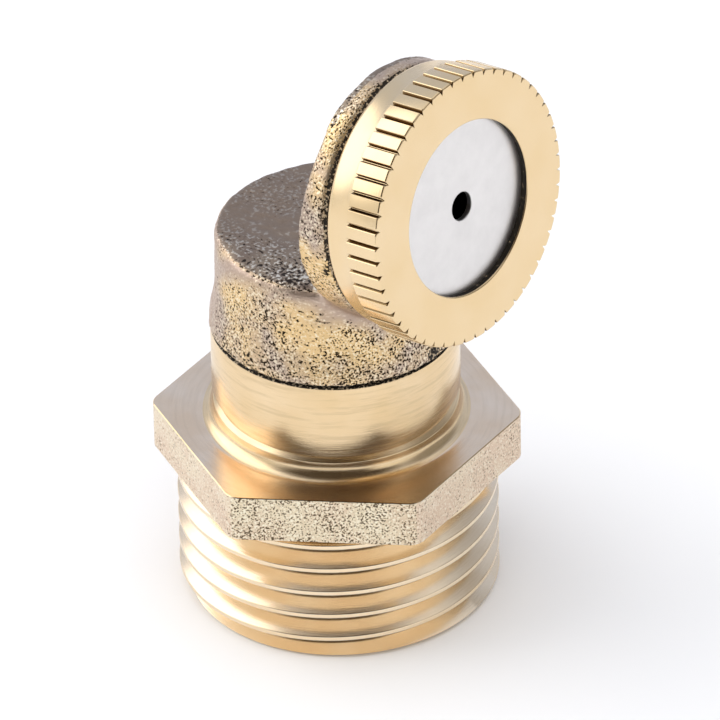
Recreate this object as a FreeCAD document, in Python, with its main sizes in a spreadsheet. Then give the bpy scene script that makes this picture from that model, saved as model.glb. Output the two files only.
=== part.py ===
import FreeCAD, Part
import Sketcher
import math
import os

# An angled single-jet spray nozzle with a male pipe thread.
# Frame: the origin is the centre of the threaded end face, +Z runs up the stem and +X is the side the head
# sprays to.  The head has its own frame: its origin is the centre of the cap's front face and its Z axis is
# the spray axis, tilted head_tilt above the horizontal, so everything in the head lies at negative Z.
DIMENSIONS = {
    # inlet thread, G 1/2: 14 turns to the inch, 55 degree flanks
    "inlet_major_r": 10.4775,
    "inlet_pitch": 1.814,
    "inlet_depth": 1.162,
    "inlet_root_half": 0.15,
    "inlet_mouth_half": 0.807,
    "inlet_groove_z": -0.7,
    "inlet_groove_reach": 9.5235,
    "end_face_r": 9.78,
    "end_chamfer": 0.45,
    # hexagon
    "hex_base": 9.45,
    "hex_top": 12.77,
    "hex_corner_r": 12.15,
    "hex_turn": 35.18,
    "hex_round": 1.1,
    # turned neck
    "foot_r": 8.0,
    "foot_fillet": 0.95,
    "groove_base": 14.0,
    "groove_slope": 0.2,
    "groove_top": 14.75,
    "groove_r": 7.7,
    "neck_r": 8.07,
    "neck_base": 14.95,
    "neck_top": 19.8,
    "seam_r": 7.85,
    "seam_top": 19.95,
    "seam_slope": 0.05,
    # cast stem above the neck
    "skirt_r": 8.14,
    "skirt_top": 20.5,
    "skirt_taper": 0.05,
    "waist_r": 7.75,
    "waist_z": 22.3,
    "shoulder_r": 7.64,
    "stem_top": 26.96,
    "stem_top_round": 0.45,
    # head frame
    "head_x": 11.345,
    "head_z": 33.076,
    "head_tilt": 8.19,
    # head: rim and threaded spigot (distances back from the cap's front face)
    "rim_r": 8.45,
    "rim_front": 4.72,
    "rim_reach": 8.6,
    "rim_back_x": 4.5,
    "rim_back_lean": 0.9,
    "rim_back_height": 18.0,
    "rim_round": 0.45,
    "spigot_r": 7.45,
    "spigot_front": 2.11,
    "spigot_chamfer": 0.35,
    "spigot_relief_r": 6.78,
    "spigot_relief": 0.6,
    "spigot_relief_slope": 0.3,
    # the thread between head and cap, pitch 1 mm with 60 degree flanks
    "cap_pitch": 1.0,
    "cap_thread_root_r": 6.85,
    "spigot_root_half": 0.125,
    "spigot_mouth_half": 0.53,
    "cap_groove_depth": 0.57,
    "cap_root_half": 0.031,
    "cap_mouth_half": 0.418,
    "cap_groove_start": 1.5,
    "cap_groove_reach": 4.0,
    # passages
    "inlet_bore_r": 7.2,
    "inlet_bore_depth": 7.6,
    "inlet_bore_chamfer": 0.3,
    "stem_bore_r": 5.6,
    "stem_bore_top": 19.5,
    "drill_tip": 2.2,
    "chamber_r": 4.7,
    "chamber_floor": 5.6,
    "passage_r": 1.35,
    "passage_x": 7.6,
    "passage_z": 29.8,
    "passage_lean": 20.0,
    "passage_length": 12.0,
    "passage_start": 0.4,
    # knurled cap
    "cap_length": 4.57,
    "cap_back_round": 0.45,
    "cap_front_round": 0.12,
    "knurl_r": 9.08,
    "knurl_width": 2.48,
    "knurl_teeth": 54,
    "knurl_depth": 0.42,
    "knurl_root_half": 0.07,
    "knurl_mouth_half": 0.19,
    "cap_band_r": 8.68,
    "cap_window_r": 5.79,
    "cap_lip": 0.59,
    "cap_bore_r": 6.98,
    "cap_bore_chamfer": 0.45,
    "cap_cavity_r": 7.6,
    "cap_cavity_end": 2.1,
    # orifice disc
    "disc_r": 6.85,
    "disc_thick": 0.4,
    "orifice_r": 0.94,
    # swirl core
    "core_flange_r": 6.6,
    "core_flange": 0.5,
    "core_shank_r": 4.62,
    "core_shank": 2.4,
    "core_feed_half": 0.65,
    "core_feed_r": 3.1,
    "core_feed_depth": 6.0,
    "core_chamber_r": 1.7,
    "core_chamber_depth": 1.2,
    "core_slot_start": 0.3,
    "core_slot_end": 3.7,
    "core_slot_rise": 0.6,
    "core_slot_width": 0.7,
    "core_slot_depth": 0.55,
    "core_slots": 4,
    # gasket between the core and the spigot
    "gasket_r": 6.6,
    "gasket_bore_r": 4.9,
    # inlet strainer
    "strainer_rim_r": 7.1,
    "strainer_rim": 1.1,
    "strainer_r": 5.2,
    "strainer_wall": 0.3,
    "strainer_length": 9.6,
    "strainer_hole_r": 0.55,
    "strainer_hole_z": 1.5,
    "strainer_row_gap": 1.65,
    "strainer_columns": 12,
    "strainer_rows": 5,
    "snap_groove_r": 7.65,
    "snap_ring_r": 7.55,
    "snap_ring_width": 1.05,
    "snap_ring_thick": 0.8,
    "snap_ring_play": 0.1,
    "snap_ring_gap": 22,
    # how far a cutting outline stands clear of the metal
    "overcut": 0.1,
    "stand_clear": 1.0,
}

Y_AXIS = FreeCAD.Vector(0, 1, 0)
Z_AXIS = FreeCAD.Vector(0, 0, 1)
ORIGIN = FreeCAD.Vector(0, 0, 0)

doc = FreeCAD.newDocument("spray_nozzle")
sheet = doc.addObject("Spreadsheet::Sheet", "dims")
for row, (alias, number) in enumerate(DIMENSIONS.items(), start=1):
    sheet.set("A%d" % row, alias)
    sheet.set("B%d" % row, str(number))
    sheet.setAlias("B%d" % row, alias)
doc.recompute()


def number(words):
    """The value of a sum such as "hex_top - hex_base", where each term is an alias or a plain number."""
    total = 0.0
    sign = 1.0
    for word in words.split():
        if word in "+-":
            sign = 1.0 if word == "+" else -1.0
        else:
            negative = word.startswith("-")
            term = word.lstrip("-")
            size = DIMENSIONS[term] if term in DIMENSIONS else float(term)
            total += sign * (-size if negative else size)
            sign = 1.0
    return total


def formula(words):
    """The same sum as an expression that reads the sheet."""
    out = []
    for word in words.split():
        negative = word.startswith("-") and word != "-"
        term = word[1:] if negative else word
        named = "dims." + term if term in DIMENSIONS else term
        out.append("-" + named if negative else named)
    return " ".join(out)


def new_body(label):
    body = doc.addObject("PartDesign::Body", label)
    body.Label = label
    return body


def plane(body, role):
    return next(o for o in body.Origin.OriginFeatures if o.Role == role)


def new_sketch(body, name, role="XZ_Plane"):
    sketch = body.newObject("Sketcher::SketchObject", name)
    sketch.AttachmentSupport = (plane(body, role), "")
    sketch.MapMode = "FlatFace"
    return sketch


def lay_in_head(sketch):
    """Moves a sketch on the XZ plane until its vertical axis is the spray axis and its origin the head's."""
    sketch.AttachmentOffset = FreeCAD.Placement(ORIGIN, FreeCAD.Rotation(Z_AXIS, -90))
    sketch.setExpression("AttachmentOffset.Base.x", "dims.head_x")
    sketch.setExpression("AttachmentOffset.Base.y", "dims.head_z")
    sketch.setExpression("AttachmentOffset.Rotation.Angle", "dims.head_tilt - 90")


def lay_in_passage(sketch):
    """The same for the drilled way from the stem up into the head."""
    sketch.AttachmentOffset = FreeCAD.Placement(ORIGIN, FreeCAD.Rotation(Z_AXIS, -1))
    sketch.setExpression("AttachmentOffset.Base.x", "dims.passage_x")
    sketch.setExpression("AttachmentOffset.Base.y", "dims.passage_z")
    sketch.setExpression("AttachmentOffset.Rotation.Angle", "-dims.passage_lean")


def place_in_head(body):
    """Turns a piece modelled about its own Z axis onto the spray axis."""
    body.Placement = FreeCAD.Placement(ORIGIN, FreeCAD.Rotation(Y_AXIS, 90))
    body.setExpression("Placement.Base.x", "dims.head_x")
    body.setExpression("Placement.Base.z", "dims.head_z")
    body.setExpression("Placement.Rotation.Angle", "90 - dims.head_tilt")


def draw_outline(sketch, corners):
    """A closed outline, drawn anticlockwise; each corner's place is bound to the sheet.  A corner's third
    value is the radius of the arc that leaves it, and a minus sign before it makes the arc hollow."""
    points = [FreeCAD.Vector(number(corner[0]), number(corner[1]), 0) for corner in corners]
    count = len(points)
    first_end = []
    for i, corner in enumerate(corners):
        start = points[i]
        end = points[(i + 1) % count]
        if len(corner) == 2:
            sketch.addGeometry(Part.LineSegment(start, end))
            first_end.append(1)
        else:
            sketch.addGeometry(arc_between(start, end, number(corner[2])))
            first_end.append(1 if number(corner[2]) > 0 else 2)
    for i in range(count):
        after = (i + 1) % count
        sketch.addConstraint(Sketcher.Constraint("Coincident", i, 3 - first_end[i], after, first_end[after]))
    for i, corner in enumerate(corners):
        bind(sketch, "DistanceX", i, first_end[i], corner[0])
        bind(sketch, "DistanceY", i, first_end[i], corner[1])
        if len(corner) == 3:
            radius = corner[2].lstrip("-")
            held = sketch.addConstraint(Sketcher.Constraint("Radius", i, number(radius)))
            sketch.setExpression("Constraints[%d]" % held, formula(radius))


def arc_between(start, end, radius):
    """The short arc from start to end, bulging away from the outline's inside, or into it if radius < 0."""
    chord = end - start
    middle = start + chord * 0.5
    inward = FreeCAD.Vector(-chord.y, chord.x, 0).normalize()
    side = 1 if radius > 0 else -1
    centre = middle + inward * side * math.sqrt(max(radius ** 2 - (chord.Length / 2) ** 2, 0))
    outermost = centre - inward * side * abs(radius)
    return Part.ArcOfCircle(start, outermost, end)


def bind(sketch, kind, side, end, words):
    """Holds one coordinate of a side's end, measured from the sketch's origin, to a sum of sheet cells."""
    value = number(words)
    if abs(value) < 1e-9:
        axis = -2 if kind == "DistanceX" else -1
        sketch.addConstraint(Sketcher.Constraint("PointOnObject", side, end, axis))
        return
    index = sketch.addConstraint(Sketcher.Constraint(kind, -1, 1, side, end, value))
    sketch.setExpression("Constraints[%d]" % index, formula(words))


def revolve(body, name, corners, lay=None):
    """Turns an outline of (radius, height) corners about the upright axis, or about the spray axis."""
    sketch = new_sketch(body, name + "_outline")
    if lay:
        lay(sketch)
    draw_outline(sketch, corners)
    solid = body.newObject("PartDesign::Revolution", name)
    solid.Profile = sketch
    solid.ReferenceAxis = (sketch, ["V_Axis"])
    solid.Angle = 360
    doc.recompute()
    return solid


def bore_out(body, name, corners, lay=None):
    """Cuts the same kind of turned shape away, and makes sure that it cut something."""
    before = body.Shape.Volume
    sketch = new_sketch(body, name + "_outline")
    if lay:
        lay(sketch)
    draw_outline(sketch, corners)
    cut = body.newObject("PartDesign::Groove", name)
    cut.Profile = sketch
    cut.ReferenceAxis = (sketch, ["V_Axis"])
    cut.Angle = 360
    doc.recompute()
    must_cut(body, name, before)
    return cut


def cut_thread(body, name, corners, pitch, reach, lay=None):
    """Cuts a right-hand thread: the groove's section, swept up the axis for the length reach."""
    before = body.Shape.Volume
    sketch = new_sketch(body, name + "_section")
    if lay:
        lay(sketch)
    draw_outline(sketch, corners)
    groove = body.newObject("PartDesign::SubtractiveHelix", name)
    groove.Profile = sketch
    groove.ReferenceAxis = (sketch, ["V_Axis"])
    groove.Mode = 0
    groove.LeftHanded = False
    groove.setExpression("Pitch", formula(pitch))
    groove.setExpression("Height", formula(reach))
    doc.recompute()
    must_cut(body, name, before)
    return groove


def must_cut(body, name, before):
    if body.Shape.Volume > before - 1e-3:
        raise RuntimeError(name + " cut nothing")


def round_edges(body, name, wanted, radius):
    """Fillets the edges that wanted(edge) picks out."""
    base = body.Tip
    names = ["Edge%d" % (i + 1) for i, edge in enumerate(base.Shape.Edges) if wanted(edge)]
    if not names:
        raise RuntimeError(name + " found no edge")
    fillet = body.newObject("PartDesign::Fillet", name)
    fillet.Base = (base, names)
    fillet.setExpression("Radius", formula(radius))
    doc.recompute()
    return fillet


def is_circle(edge, radius, height):
    """Whether an edge is the level circle of that radius at that height."""
    curve = edge.Curve
    return (
        isinstance(curve, Part.Circle)
        and abs(curve.Radius - radius) < 1e-4
        and abs(curve.Center.z - height) < 1e-4
        and abs(abs(curve.Axis.z) - 1) < 1e-6
    )


# ---- nozzle_body: one brass casting with its thread, neck and hexagon's top turned ----
def make_nozzle_body():
    body = new_body("nozzle_body")
    make_head(body)
    make_stem(body)
    cut_inlet_thread(body)
    add_hexagon(body)
    cut_spigot_thread(body)
    cut_passages(body)
    return body


def make_stem(body):
    """The thread's blank, the neck and the cast stem; the hexagon is put round it afterwards."""
    revolve(body, "stem", [
        ("0", "0"),
        ("end_face_r", "0"),
        ("inlet_major_r", "end_chamfer"),
        ("inlet_major_r", "hex_base + stand_clear"),
        ("foot_r + foot_fillet", "hex_top", "-foot_fillet"),
        ("foot_r", "hex_top + foot_fillet"),
        ("foot_r", "groove_base"),
        ("groove_r", "groove_base + groove_slope"),
        ("groove_r", "groove_top"),
        ("neck_r", "neck_base"),
        ("neck_r", "neck_top"),
        ("seam_r", "neck_top + seam_slope"),
        ("seam_r", "seam_top"),
        ("skirt_r", "seam_top + seam_slope"),
        ("skirt_r - skirt_taper", "skirt_top"),
        ("waist_r", "waist_z"),
        ("shoulder_r", "stem_top - stem_top_round", "stem_top_round"),
        ("shoulder_r - stem_top_round", "stem_top"),
        ("0", "stem_top"),
    ])


def add_hexagon(body):
    """The spanner's hexagon.  The thread was cut first, so its last groove runs out against the flat face."""
    prism = body.newObject("PartDesign::AdditivePrism", "hexagon")
    prism.AttachmentSupport = (plane(body, "XY_Plane"), "")
    prism.MapMode = "FlatFace"
    prism.Polygon = 6
    prism.AttachmentOffset = FreeCAD.Placement(ORIGIN, FreeCAD.Rotation(Z_AXIS, 1))
    prism.setExpression("AttachmentOffset.Base.z", "dims.hex_base")
    prism.setExpression("AttachmentOffset.Rotation.Angle", "dims.hex_turn")
    prism.setExpression("Circumradius", "dims.hex_corner_r")
    prism.setExpression("Height", "dims.hex_top - dims.hex_base")
    doc.recompute()
    corner = number("hex_corner_r")
    low = number("hex_base")
    high = number("hex_top")

    def upright(edge):
        ends = [v.Point for v in edge.Vertexes]
        return (
            len(ends) == 2
            and abs(math.hypot(ends[0].x, ends[0].y) - corner) < 1e-3
            and abs(math.hypot(ends[1].x, ends[1].y) - corner) < 1e-3
            and {round(ends[0].z, 3), round(ends[1].z, 3)} == {round(low, 3), round(high, 3)}
        )

    round_edges(body, "hexagon_corners", upright, "hex_round")


def make_head(body):
    """The thick round rim that the cap closes on, and the threaded spigot in front of it."""
    revolve(body, "head", [
        ("0", "-rim_reach"),
        ("rim_r", "-rim_reach"),
        ("rim_r", "-rim_front"),
        ("spigot_relief_r", "-rim_front"),
        ("spigot_relief_r", "-rim_front + spigot_relief"),
        ("spigot_r", "-rim_front + spigot_relief + spigot_relief_slope"),
        ("spigot_r", "-spigot_front - spigot_chamfer"),
        ("spigot_r - spigot_chamfer", "-spigot_front"),
        ("0", "-spigot_front"),
    ], lay=lay_in_head)
    trim_rim_back(body)


def trim_rim_back(body):
    """The casting's flat back, which stands almost upright on the stem's flat top."""
    before = body.Shape.Volume
    sketch = new_sketch(body, "rim_back_outline")
    sketch.setExpression("AttachmentOffset.Base.x", "dims.rim_back_x")
    sketch.setExpression("AttachmentOffset.Base.y", "dims.stem_top")
    draw_outline(sketch, [
        ("rim_back_lean", "-rim_back_height"),
        ("-rim_back_lean", "rim_back_height"),
        ("-rim_back_height", "rim_back_height"),
        ("-rim_back_height", "-rim_back_height"),
    ])
    trim = body.newObject("PartDesign::Pocket", "rim_back")
    trim.Profile = sketch
    trim.Type = "ThroughAll"
    trim.Midplane = True
    doc.recompute()
    must_cut(body, "rim_back", before)

    def is_back_edge(edge):
        return isinstance(edge.Curve, Part.Ellipse)

    round_edges(body, "rim_back_edge", is_back_edge, "rim_round")


def cut_inlet_thread(body):
    """A 55 degree thread form whose crests are left flat and whose groove has a narrow flat root."""
    cut_thread(body, "inlet_thread", [
        ("inlet_major_r - inlet_depth", "inlet_groove_z - inlet_root_half"),
        ("inlet_major_r + overcut", "inlet_groove_z - inlet_mouth_half"),
        ("inlet_major_r + overcut", "inlet_groove_z + inlet_mouth_half"),
        ("inlet_major_r - inlet_depth", "inlet_groove_z + inlet_root_half"),
    ], "inlet_pitch", "inlet_groove_reach")


def cut_spigot_thread(body):
    """The cap's thread on the head: 60 degrees, starting in the relief behind it."""
    cut_thread(body, "spigot_thread", [
        ("cap_thread_root_r", "-rim_front + spigot_relief - spigot_root_half"),
        ("spigot_r + overcut", "-rim_front + spigot_relief - spigot_mouth_half"),
        ("spigot_r + overcut", "-rim_front + spigot_relief + spigot_mouth_half"),
        ("cap_thread_root_r", "-rim_front + spigot_relief + spigot_root_half"),
    ], "cap_pitch", "rim_front - spigot_front", lay=lay_in_head)


def cut_passages(body):
    bore_out(body, "inlet_bore", [
        ("0", "-stand_clear"),
        ("inlet_bore_r + inlet_bore_chamfer", "-stand_clear"),
        ("inlet_bore_r + inlet_bore_chamfer", "0"),
        ("inlet_bore_r", "inlet_bore_chamfer"),
        ("inlet_bore_r", "inlet_bore_depth"),
        ("stem_bore_r", "inlet_bore_depth"),
        ("stem_bore_r", "stem_bore_top"),
        ("0", "stem_bore_top + drill_tip"),
    ])
    bore_out(body, "snap_groove", [
        ("inlet_bore_r - stand_clear", "inlet_bore_depth - strainer_rim - snap_ring_thick - snap_ring_play"),
        ("snap_groove_r", "inlet_bore_depth - strainer_rim - snap_ring_thick - snap_ring_play"),
        ("snap_groove_r", "inlet_bore_depth - strainer_rim"),
        ("inlet_bore_r - stand_clear", "inlet_bore_depth - strainer_rim"),
    ])
    bore_out(body, "chamber", [
        ("0", "-chamber_floor"),
        ("chamber_r", "-chamber_floor"),
        ("chamber_r", "stand_clear"),
        ("0", "stand_clear"),
    ], lay=lay_in_head)
    bore_out(body, "cross_passage", [
        ("0", "-passage_length"),
        ("passage_r", "-passage_length"),
        ("passage_r", "passage_start"),
        ("0", "passage_start"),
    ], lay=lay_in_passage)


def cut_and_repeat(body, name, role, shapes, depth, repeats):
    """A pocket of the given outlines or circles, repeated around the body's own Z axis."""
    before = body.Shape.Volume
    sketch = new_sketch(body, name + "_outline", role)
    for shape in shapes:
        if len(shape) == 3:
            draw_circle(sketch, *shape)
        else:
            draw_outline(sketch, shape)
    pocket = body.newObject("PartDesign::Pocket", name)
    pocket.Profile = sketch
    pocket.setExpression("Length", formula(depth))
    doc.recompute()
    must_cut(body, name, before)
    pattern = body.newObject("PartDesign::PolarPattern", name + "_pattern")
    pattern.Originals = [pocket]
    pattern.Axis = (plane(body, "Z_Axis"), [""])
    pattern.Angle = 360
    pattern.setExpression("Occurrences", formula(repeats))
    body.Tip = pattern
    doc.recompute()
    return pattern


def draw_circle(sketch, x, y, radius):
    centre = FreeCAD.Vector(number(x), number(y), 0)
    index = sketch.addGeometry(Part.Circle(centre, Z_AXIS, number(radius)))
    held = sketch.addConstraint(Sketcher.Constraint("Radius", index, number(radius)))
    sketch.setExpression("Constraints[%d]" % held, formula(radius))
    bind(sketch, "DistanceX", index, 3, x)
    bind(sketch, "DistanceY", index, 3, y)


# ---- knurled_cap: a turned brass ring nut that clamps the insert against the head ----
def make_knurled_cap():
    body = new_body("knurled_cap")
    revolve(body, "blank", [
        ("0", "-cap_length"),
        ("cap_band_r", "-cap_length"),
        ("cap_band_r", "-knurl_width"),
        ("knurl_r", "-knurl_width"),
        ("knurl_r", "0"),
        ("0", "0"),
    ])
    band = number("cap_band_r")
    back = number("-cap_length")
    round_edges(body, "back_edge", lambda e: is_circle(e, band, back), "cap_back_round")
    tip = number("knurl_r")
    round_edges(body, "front_edge", lambda e: is_circle(e, tip, 0), "cap_front_round")
    bore_out(body, "cavity", [
        ("0", "-cap_length - stand_clear"),
        ("cap_bore_r + cap_bore_chamfer", "-cap_length - stand_clear"),
        ("cap_bore_r + cap_bore_chamfer", "-cap_length"),
        ("cap_bore_r", "-cap_length + cap_bore_chamfer"),
        ("cap_bore_r", "-cap_cavity_end"),
        ("cap_cavity_r", "-cap_cavity_end + overcut"),
        ("cap_cavity_r", "-cap_lip"),
        ("0", "-cap_lip"),
    ])
    bore_out(body, "window", [
        ("0", "-cap_lip - disc_thick"),
        ("cap_window_r", "-cap_lip - disc_thick"),
        ("cap_window_r", "stand_clear"),
        ("0", "stand_clear"),
    ])
    cut_cap_thread(body)
    cut_and_repeat(body, "knurl", "XY_Plane", [[
        ("knurl_r - knurl_depth", "-knurl_root_half"),
        ("knurl_r + overcut", "-knurl_mouth_half"),
        ("knurl_r + overcut", "knurl_mouth_half"),
        ("knurl_r - knurl_depth", "knurl_root_half"),
    ]], "knurl_width", "knurl_teeth")
    place_in_head(body)
    return body


def cut_cap_thread(body):
    """The mating thread: a pitch and a half behind the head's groove, with a little play on each flank."""
    cut_thread(body, "cap_thread", [
        ("cap_bore_r - overcut", "-rim_front + spigot_relief - cap_groove_start - cap_mouth_half"),
        ("cap_bore_r + cap_groove_depth", "-rim_front + spigot_relief - cap_groove_start - cap_root_half"),
        ("cap_bore_r + cap_groove_depth", "-rim_front + spigot_relief - cap_groove_start + cap_root_half"),
        ("cap_bore_r - overcut", "-rim_front + spigot_relief - cap_groove_start + cap_mouth_half"),
    ], "cap_pitch", "cap_groove_reach")


# ---- orifice_disc: a stamped stainless disc with the jet's hole ----
def make_orifice_disc():
    body = new_body("orifice_disc")
    revolve(body, "disc", [
        ("orifice_r", "-cap_lip - disc_thick"),
        ("disc_r", "-cap_lip - disc_thick"),
        ("disc_r", "-cap_lip"),
        ("orifice_r", "-cap_lip"),
    ])
    place_in_head(body)
    return body


# ---- swirl_core: a turned brass plug whose slanting slots set the water spinning behind the hole ----
def make_swirl_core():
    body = new_body("swirl_core")
    revolve(body, "plug", [
        ("0", "-cap_lip - disc_thick - core_flange - core_shank"),
        ("core_shank_r", "-cap_lip - disc_thick - core_flange - core_shank"),
        ("core_shank_r", "-cap_lip - disc_thick - core_flange"),
        ("core_flange_r", "-cap_lip - disc_thick - core_flange"),
        ("core_flange_r", "-cap_lip - disc_thick"),
        ("0", "-cap_lip - disc_thick"),
    ])
    bore_out(body, "swirl_chamber", [
        ("0", "-cap_lip - disc_thick - core_chamber_depth"),
        ("core_chamber_r", "-cap_lip - disc_thick - core_chamber_depth"),
        ("core_chamber_r", "0"),
        ("0", "0"),
    ])
    cut_and_repeat(body, "feed", "XY_Plane", [[
        ("core_feed_r", "-core_feed_half"),
        ("core_shank_r + overcut", "-core_feed_half"),
        ("core_shank_r + overcut", "core_feed_half"),
        ("core_feed_r", "core_feed_half"),
    ]], "core_feed_depth", "core_slots")
    cut_and_repeat(body, "swirl_slot", "XY_Plane", [[
        ("core_slot_start", "core_chamber_r - core_slot_width"),
        ("core_slot_end", "0"),
        ("core_slot_end", "core_slot_rise"),
        ("core_slot_start", "core_chamber_r"),
    ]], "cap_lip + disc_thick + core_slot_depth", "core_slots")
    place_in_head(body)
    return body


# ---- core_gasket: the rubber washer between the core's flange and the head ----
def make_core_gasket():
    body = new_body("core_gasket")
    revolve(body, "washer", [
        ("gasket_bore_r", "-spigot_front"),
        ("gasket_r", "-spigot_front"),
        ("gasket_r", "-cap_lip - disc_thick - core_flange"),
        ("gasket_bore_r", "-cap_lip - disc_thick - core_flange"),
    ])
    place_in_head(body)
    return body


# ---- strainer_thimble: perforated sheet pressed into a thimble with a brim ----
def make_strainer_thimble():
    body = new_body("strainer_thimble")
    revolve(body, "thimble", [
        ("strainer_r - strainer_wall", "inlet_bore_depth - strainer_wall"),
        ("strainer_rim_r", "inlet_bore_depth - strainer_wall"),
        ("strainer_rim_r", "inlet_bore_depth"),
        ("strainer_r", "inlet_bore_depth"),
        ("strainer_r", "inlet_bore_depth + strainer_length"),
        ("0", "inlet_bore_depth + strainer_length"),
        ("0", "inlet_bore_depth + strainer_length - strainer_wall"),
        ("strainer_r - strainer_wall", "inlet_bore_depth + strainer_length - strainer_wall"),
    ])
    lowest = "inlet_bore_depth + strainer_hole_z"
    rows = range(DIMENSIONS["strainer_rows"])
    holes = [("0", lowest + " + strainer_row_gap" * row, "strainer_hole_r") for row in rows]
    cut_and_repeat(body, "side_holes", "XZ_Plane", holes, "strainer_r + stand_clear", "strainer_columns")
    return body


# ---- strainer_collar: the flat brass ring that backs the thimble's brim ----
def make_strainer_collar():
    body = new_body("strainer_collar")
    revolve(body, "collar", [
        ("strainer_r", "inlet_bore_depth - strainer_rim"),
        ("strainer_rim_r", "inlet_bore_depth - strainer_rim"),
        ("strainer_rim_r", "inlet_bore_depth - strainer_wall"),
        ("strainer_r", "inlet_bore_depth - strainer_wall"),
    ])
    return body


# ---- snap_ring: the open spring-steel ring that holds the strainer in its seat ----
def make_snap_ring():
    body = new_body("snap_ring")
    ring = revolve(body, "ring", [
        ("snap_ring_r - snap_ring_width", "inlet_bore_depth - strainer_rim - snap_ring_thick"),
        ("snap_ring_r", "inlet_bore_depth - strainer_rim - snap_ring_thick"),
        ("snap_ring_r", "inlet_bore_depth - strainer_rim"),
        ("snap_ring_r - snap_ring_width", "inlet_bore_depth - strainer_rim"),
    ])
    ring.setExpression("Angle", "360 - dims.snap_ring_gap")
    doc.recompute()
    return body


def check_and_write(bodies):
    doc.recompute()
    for thing in doc.Objects:
        if {"Invalid", "Error"} & set(thing.State):
            raise RuntimeError(thing.Name + " did not build")
    os.makedirs("parts", exist_ok=True)
    for body in bodies:
        if body.Shape.isNull() or not body.Shape.isValid() or len(body.Shape.Solids) != 1:
            raise RuntimeError(body.Label + " is not one good solid")
        body.Shape.exportStep("parts/%s.step" % body.Label)
        print("%-18s %9.2f mm3" % (body.Label, body.Shape.Volume))


check_and_write([
    make_nozzle_body(),
    make_knurled_cap(),
    make_orifice_disc(),
    make_swirl_core(),
    make_core_gasket(),
    make_strainer_thimble(),
    make_strainer_collar(),
    make_snap_ring(),
])
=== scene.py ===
import bpy
import math
from mathutils import Euler, Matrix, Vector


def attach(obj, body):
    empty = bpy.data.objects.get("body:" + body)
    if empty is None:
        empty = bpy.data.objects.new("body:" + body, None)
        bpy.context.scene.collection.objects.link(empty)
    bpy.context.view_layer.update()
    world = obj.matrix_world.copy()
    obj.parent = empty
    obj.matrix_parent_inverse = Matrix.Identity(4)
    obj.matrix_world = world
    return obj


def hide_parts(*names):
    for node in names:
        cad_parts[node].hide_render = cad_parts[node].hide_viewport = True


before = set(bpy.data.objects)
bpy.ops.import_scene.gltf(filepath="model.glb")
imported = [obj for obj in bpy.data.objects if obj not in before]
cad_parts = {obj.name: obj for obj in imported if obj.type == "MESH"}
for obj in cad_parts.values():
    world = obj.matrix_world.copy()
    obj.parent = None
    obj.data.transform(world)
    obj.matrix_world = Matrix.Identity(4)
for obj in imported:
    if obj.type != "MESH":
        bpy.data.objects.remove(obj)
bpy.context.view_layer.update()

MM = 0.001

# ---- The table, the light and the camera --------------------------------------------------------------
# The nozzle stands on a white table in a bright room.  A large window of soft light is to its left, and the
# side that it is looked at from is dim.  A long lens looks down from there at the cap and the stem's top.
VIEW_AZIMUTH = math.radians(40.37)
VIEW_ELEVATION = math.radians(34.915)
VIEW_ROLL = math.radians(-1.061)
VIEW_DISTANCE = 675.8 * MM
LOOK_AT = Vector((1.505, 0.655, 16.75)) * MM
LENS = 522.8
TABLE_SIZE = 6.0
TABLE_WHITE = 0.9
ROOM_GREY = 0.85
# what the room shows in each direction: azimuth, elevation, half width and softness in degrees, colour
ROOM_PATCHES = (
    (130, 35, 75, 40, (0.62, 0.68, 0.84)),
    (0, 90, 40, 25, (0.90, 0.92, 0.98)),
    (-49.6, 38, 44, 26, (0.07, 0.055, 0.04)),
    (45, 25, 26, 14, (0.30, 0.29, 0.28)),
    (205, 34, 30, 10, (2.1, 2.1, 2.15)),
    (-8, 12, 12, 10, (1.1, 1.1, 1.1)),
)
LAMP_PLACE = Vector((0.30, -0.40, 0.85))
LAMP_SIZE = 1.6
LAMP_WATTS = 10.3


def towards(azimuth, elevation):
    """A direction: azimuth in degrees anticlockwise from +X, seen from above, and elevation from level."""
    sweep = math.radians(azimuth)
    rise = math.radians(elevation)
    return Vector((math.cos(sweep) * math.cos(rise), math.sin(sweep) * math.cos(rise), math.sin(rise)))


back = Vector((
    math.sin(VIEW_AZIMUTH) * math.cos(VIEW_ELEVATION),
    -math.cos(VIEW_AZIMUTH) * math.cos(VIEW_ELEVATION),
    math.sin(VIEW_ELEVATION),
))
level = Vector((math.cos(VIEW_AZIMUTH), math.sin(VIEW_AZIMUTH), 0))
upright = back.cross(level)
right = level * math.cos(VIEW_ROLL) + upright * math.sin(VIEW_ROLL)
up = upright * math.cos(VIEW_ROLL) - level * math.sin(VIEW_ROLL)
eye = LOOK_AT + back * VIEW_DISTANCE
camera_data = bpy.data.cameras.new("camera")
camera_data.sensor_width = 36
camera_data.lens = LENS
camera_data.clip_start = 0.01
camera = bpy.data.objects.new("camera", camera_data)
camera.matrix_world = Matrix((
    (right.x, up.x, back.x, eye.x),
    (right.y, up.y, back.y, eye.y),
    (right.z, up.z, back.z, eye.z),
    (0, 0, 0, 1),
))
bpy.context.scene.collection.objects.link(camera)
bpy.context.scene.camera = camera
bpy.context.scene.view_settings.view_transform = "Standard"

bpy.ops.object.select_all(action="DESELECT")
bpy.ops.mesh.primitive_plane_add(size=TABLE_SIZE, location=(0, 0, 0))
floor = bpy.context.object
floor.name = "table"
paper = bpy.data.materials.new("white_table")
paper.use_nodes = True
paper_shader = paper.node_tree.nodes["Principled BSDF"]
paper_shader.inputs["Base Color"].default_value = (TABLE_WHITE, TABLE_WHITE, TABLE_WHITE, 1)
paper_shader.inputs["Roughness"].default_value = 0.95
paper_shader.inputs["Specular IOR Level"].default_value = 0.0
floor.data.materials.append(paper)

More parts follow.
